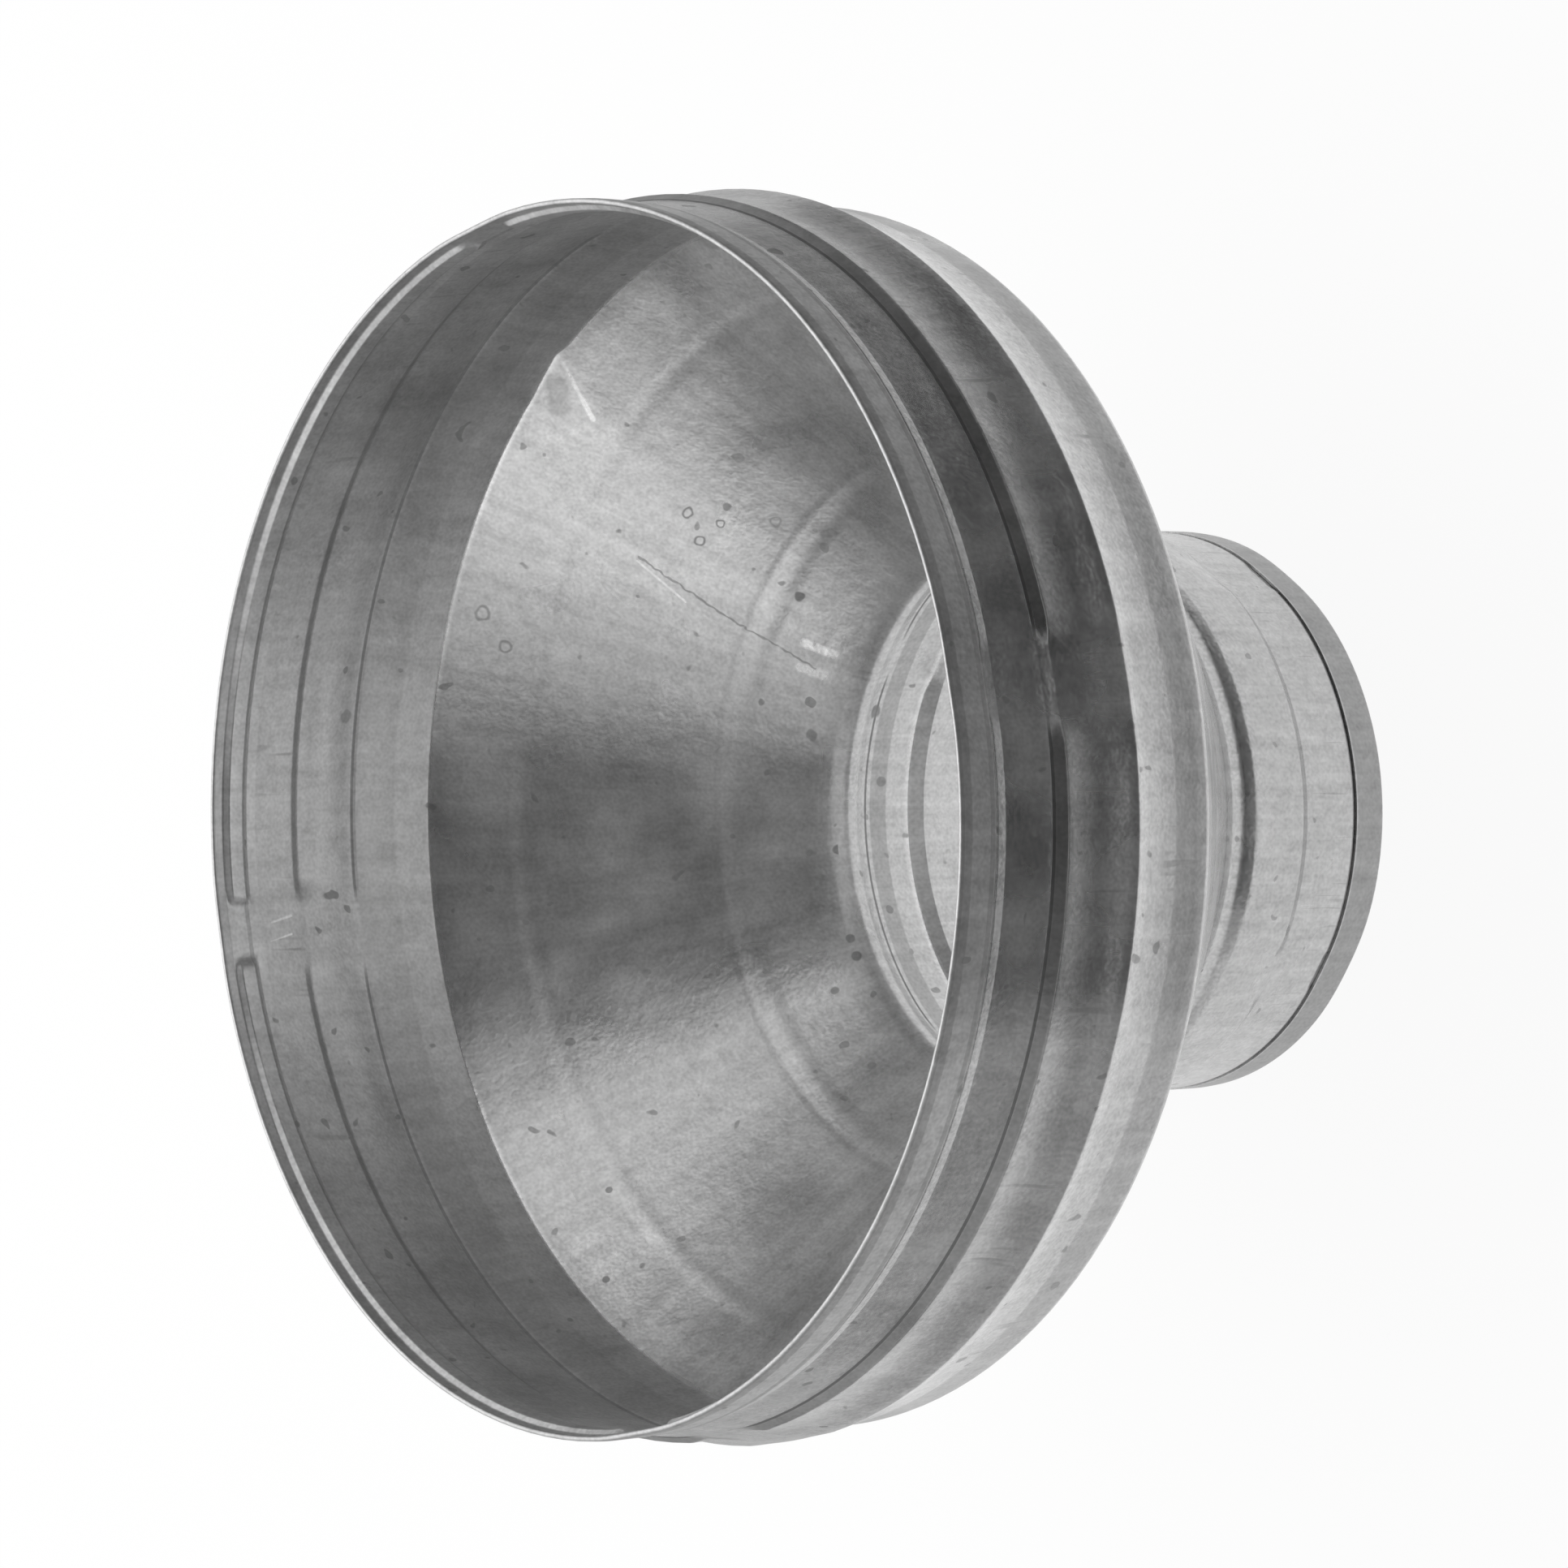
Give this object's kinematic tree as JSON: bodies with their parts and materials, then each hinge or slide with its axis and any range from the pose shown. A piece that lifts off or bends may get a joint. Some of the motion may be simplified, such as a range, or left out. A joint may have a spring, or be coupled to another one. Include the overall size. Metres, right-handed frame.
{
  "type": "duct reducer",
  "caption": "Pressed galvanised steel reducer for round air ducts: a wide collar and a narrow collar with folded hems, seal grooves and stop steps, joined by a cone",
  "frame": {"origin": "centre of the small rim, on the plane that the part stands on", "axes": "+Z is the axis of the reducer, from the small end to the wide mouth; the turn about Z is set by the gaps in the pressed arcs"},
  "size_m": [0.257, 0.257, 0.176],
  "materials": {
    "galvanised_sheet": "galvanised, dull with draw marks"
  },
  "bodies": {
    "root": {"reducer": "galvanised_sheet"}
  },
  "joints": []
}
